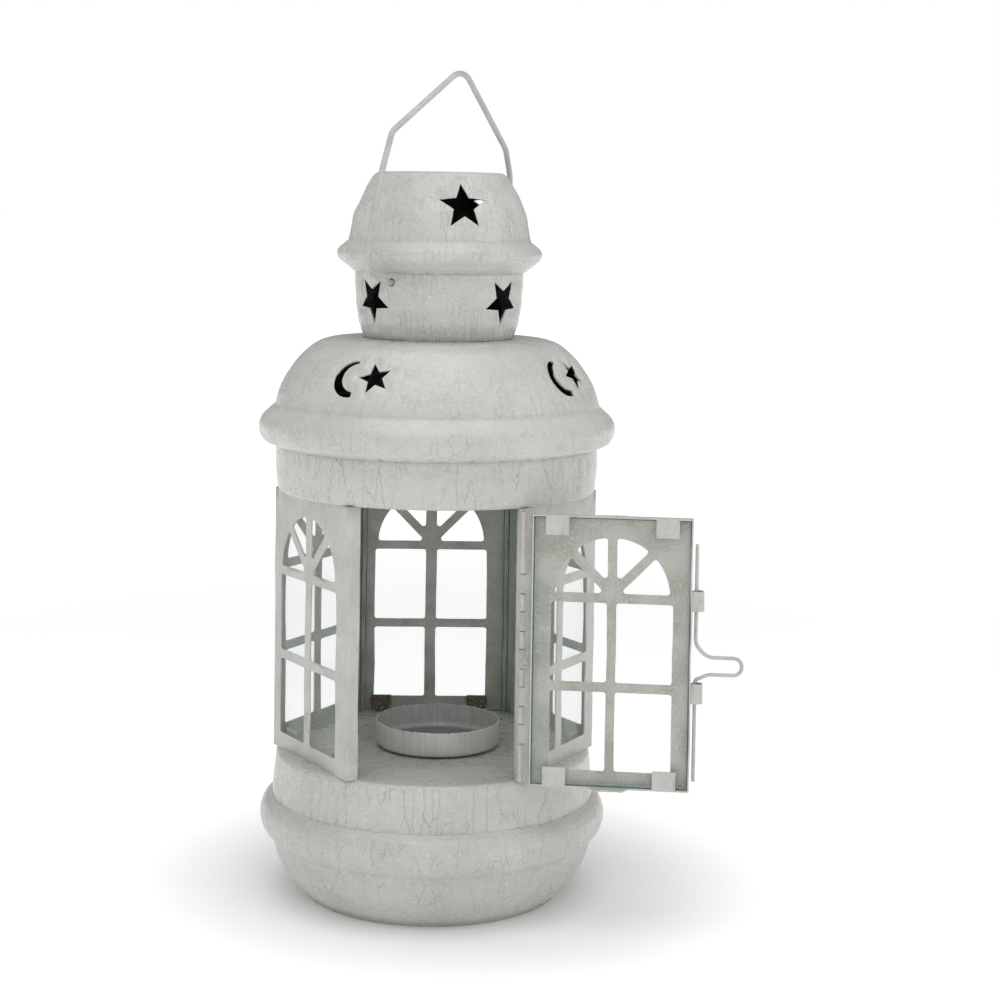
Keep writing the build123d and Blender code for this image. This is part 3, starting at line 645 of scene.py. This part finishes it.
def bent_wire(name, node, body, material, points, radius):
    """A round wire swept along its centre line, with flat cut ends."""
    shape = bmesh.new()
    side = (points[1] - points[0]).orthogonal().normalized()
    rings = []
    for index, point in enumerate(points):
        back = points[max(0, index - 1)]
        ahead = points[min(len(points) - 1, index + 1)]
        along = (ahead - back).normalized()
        side = (side - along * side.dot(along)).normalized()
        other = along.cross(side)
        ring = []
        for step in range(WIRE_SIDES):
            turn = 2 * math.pi * step / WIRE_SIDES
            reach = (side * math.cos(turn) + other * math.sin(turn)) * radius
            ring.append(shape.verts.new(point + reach))
        rings.append(ring)
    for first, second in zip(rings, rings[1:]):
        for step in range(WIRE_SIDES):
            after = (step + 1) % WIRE_SIDES
            shape.faces.new((first[step], first[after], second[after], second[step]))
    shape.faces.new(rings[0][::-1])
    shape.faces.new(rings[-1])
    finished(name, shape, body, (node,), (material,), 50.0)


bail_across = Vector((math.cos(math.radians(BAIL_AZIMUTH)), math.sin(math.radians(BAIL_AZIMUTH)), 0))
bail_lean = bail_across.cross(Vector((0, 0, 1))) * math.sin(math.radians(BAIL_LEAN))
bail_up = Vector((0, 0, math.cos(math.radians(BAIL_LEAN)))) + bail_lean
bail_centre = Vector((0, 0, BAIL_HOLE_Z))
bail_corners = [bail_centre + bail_across * x + bail_up * y for x, y in BAIL_CORNERS]
bail_path = rounded_path(bail_corners, BAIL_ROUNDS)
bent_wire("bail_handle", "bail", "bail", bail_wire_paint, bail_path, BAIL_WIRE_RADIUS)

door_turn = Matrix.Rotation(math.radians(DOOR_OPEN), 3, "Z")
hinge_line = Vector((HINGE_X, HINGE_Y, 0))
rod_foot = Vector((HINGE_X - ROD_OFFSET, -APOTHEM + LOOP_DEPTH, 0))
rod_corners = [rod_foot + Vector((-x, 0, z)) for x, z in ROD_CORNERS]
rod_corners = [hinge_line + door_turn @ (corner - hinge_line) for corner in rod_corners]
rod_path = rounded_path(rod_corners, ROD_ROUNDS)
bent_wire("latch_rod", "latch_wire", "latch", latch_paint, rod_path, LATCH_WIRE_RADIUS)


def cup_shell():
    """The tin cup: thin wall with upright ripples and an unevenly cut rim."""
    low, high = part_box("tealight_cup")
    middle_x = (low[0] + high[0]) / 2 / MM
    radius = (high[0] - low[0]) / 2 / MM
    bottom, rim = low[2] / MM, high[2] / MM
    inner = radius - CUP_SHEET
    depth = rim - bottom
    # Distance from the axis, height and 1 on the cut rim: the outside upward, then the inside downward.
    profile = [(3.0, 0.0, 0), (16.0, 0.0, 0), (radius - 1.5, 0.0, 0)]
    profile += [(radius - 0.9, 0.22, 0), (radius - 0.35, 0.75, 0)]
    profile += [(radius, height, 0) for height in (1.5, 3.5, 5.5, 7.2)]
    profile += [(radius, depth, 1), (inner, depth, 1)]
    profile += [(inner, height, 0) for height in (7.0, 5.0, 3.0, 1.7)]
    profile += [(inner - 0.5, 0.8, 0)]
    profile += [(reach, CUP_SHEET, 0) for reach in (inner - 1.3, 15.0, 8.0, 3.0)]
    shape = bmesh.new()
    rings = []
    for reach, height, on_rim in profile:
        ring = []
        for index in range(CUP_SIDES):
            turn = 2 * math.pi * index / CUP_SIDES
            wave = noise.noise(Vector((math.cos(turn) * 9, math.sin(turn) * 9, 3.0)))
            crimp = noise.noise(Vector((math.cos(turn) * 26, math.sin(turn) * 26, 7.0)))
            climb = min(1.0, height / 8.0) if reach > 15.5 else 0.0
            out = reach - climb * (0.10 + 0.10 * wave + 0.12 * crimp)
            drop = on_rim * (0.28 + 0.20 * wave + 0.30 * crimp)
            tall = bottom + height - max(0.0, drop)
            ring.append(shape.verts.new((middle_x + out * math.cos(turn), out * math.sin(turn), tall)))
        rings.append(ring)
    for first, second in zip(rings, rings[1:]):
        for index in range(CUP_SIDES):
            after = (index + 1) % CUP_SIDES
            shape.faces.new((first[index], first[after], second[after], second[index]))
    shape.faces.new(rings[0][::-1])
    shape.faces.new(rings[-1])
    bmesh.ops.recalc_face_normals(shape, faces=shape.faces)
    finished("cup_tin", shape, "lantern", ("tealight_cup",), (tinplate,), 50.0)


cup_shell()


# ---------------------------------------------------------------- floor, light and camera
# Places in metres, angles in degrees, lens in millimetres.
FLOOR_DROP = 0.0002
AMBIENT = 0.32
CAMERA_PLACE = (-0.00131, -0.69440, 0.2293)
CAMERA_TURN = -1.8
CAMERA_PITCH = 87.0
CAMERA_ROLL = 0.86
CAMERA_LENS = 74.7
CAMERA_SHIFT = -0.1827


def make_floor():
    """A plain pale floor that glows, brighter far off so it looks evenly white, and dimly near the lantern as
    a painted shadow that deepens its real shadow.
    """
    look = Look("floor_white")
    tone = look.mix(look.noise(120.0), grey(0.90), grey(0.88))
    material = look.finish(tone, 0.6)
    look.shader.inputs["Emission Color"].default_value = (1.0, 1.0, 1.0, 1.0)
    away = look.add("VectorMath", {0: look.place, 1: (9.0, 0.0, 0.0)}, operation="DISTANCE").outputs["Value"]
    # Painted shadow: the floor's glow is weakest close to the lantern, a little off to the right, so a soft
    # dark halo shows round its base.
    near = look.span(away, 45.0, 125.0, 0.10, 0.42)
    far = look.span(away, 400.0, 1300.0, 0.0, 0.52)
    glow = look.math("ADD", near, far)
    look.tree.links.new(glow, look.shader.inputs["Emission Strength"])
    mesh = bpy.data.meshes.new("floor")
    reach = 30.0
    corners = [(-reach, -reach, 0), (reach, -reach, 0), (reach, reach, 0), (-reach, reach, 0)]
    mesh.from_pydata(corners, [], [(0, 1, 2, 3)])
    mesh.materials.append(material)
    floor = bpy.data.objects.new("floor", mesh)
    floor.location = (0, 0, -FLOOR_DROP)
    bpy.context.scene.collection.objects.link(floor)


def soft_light(name, position, target, size, power):
    """A soft box. Places and sizes are in metres, power in watts."""
    data = bpy.data.lights.new(name, "AREA")
    data.shape = "RECTANGLE"
    data.size, data.size_y = size
    data.energy = power
    lamp = bpy.data.objects.new(name, data)
    lamp.location = position
    aim = Vector(target) - Vector(position)
    lamp.rotation_mode = "QUATERNION"
    lamp.rotation_quaternion = aim.to_track_quat("-Z", "Y")
    bpy.context.scene.collection.objects.link(lamp)


def make_world():
    """Dim even light on the lantern, and plain white where the camera sees past the floor."""
    world = bpy.data.worlds.new("studio")
    world.use_nodes = True
    tree = world.node_tree
    tree.nodes.clear()
    output = tree.nodes.new("ShaderNodeOutputWorld")
    ambient = tree.nodes.new("ShaderNodeBackground")
    ambient.inputs["Color"].default_value = (0.98, 0.99, 1.0, 1.0)
    ambient.inputs["Strength"].default_value = AMBIENT
    seen = tree.nodes.new("ShaderNodeBackground")
    seen.inputs["Color"].default_value = (1.0, 1.0, 1.0, 1.0)
    seen.inputs["Strength"].default_value = 1.0
    ray = tree.nodes.new("ShaderNodeLightPath")
    choose = tree.nodes.new("ShaderNodeMixShader")
    tree.links.new(ray.outputs["Is Camera Ray"], choose.inputs[0])
    tree.links.new(ambient.outputs[0], choose.inputs[1])
    tree.links.new(seen.outputs[0], choose.inputs[2])
    tree.links.new(choose.outputs[0], output.inputs[0])
    bpy.context.scene.world = world


def make_camera():
    """The camera in front of the open lantern."""
    data = bpy.data.cameras.new("camera")
    data.lens = CAMERA_LENS
    data.sensor_width = 36.0
    data.shift_y = CAMERA_SHIFT
    camera = bpy.data.objects.new("camera", data)
    turn = Matrix.Rotation(math.radians(CAMERA_TURN), 4, "Z")
    pitch = Matrix.Rotation(math.radians(CAMERA_PITCH), 4, "X")
    roll = Matrix.Rotation(math.radians(CAMERA_ROLL), 4, "Z")
    camera.matrix_world = Matrix.Translation(CAMERA_PLACE) @ turn @ pitch @ roll
    bpy.context.scene.collection.objects.link(camera)
    bpy.context.scene.camera = camera


make_floor()
make_world()
soft_light("top_box", (0.0, -0.25, 1.15), (0, 0, 0.12), (1.1, 1.1), 7.3)
soft_light("left_box", (-1.1, -0.35, 0.45), (0, 0, 0.14), (0.9, 1.0), 1.2)
soft_light("right_box", (1.1, -0.35, 0.45), (0, 0, 0.14), (0.9, 1.0), 1.9)
soft_light("front_box", (0.0, -1.25, 0.75), (0, 0, 0.05), (0.7, 0.5), 2.1)
make_camera()
bpy.context.scene.view_settings.view_transform = "Standard"
bpy.context.scene.view_settings.look = "None"
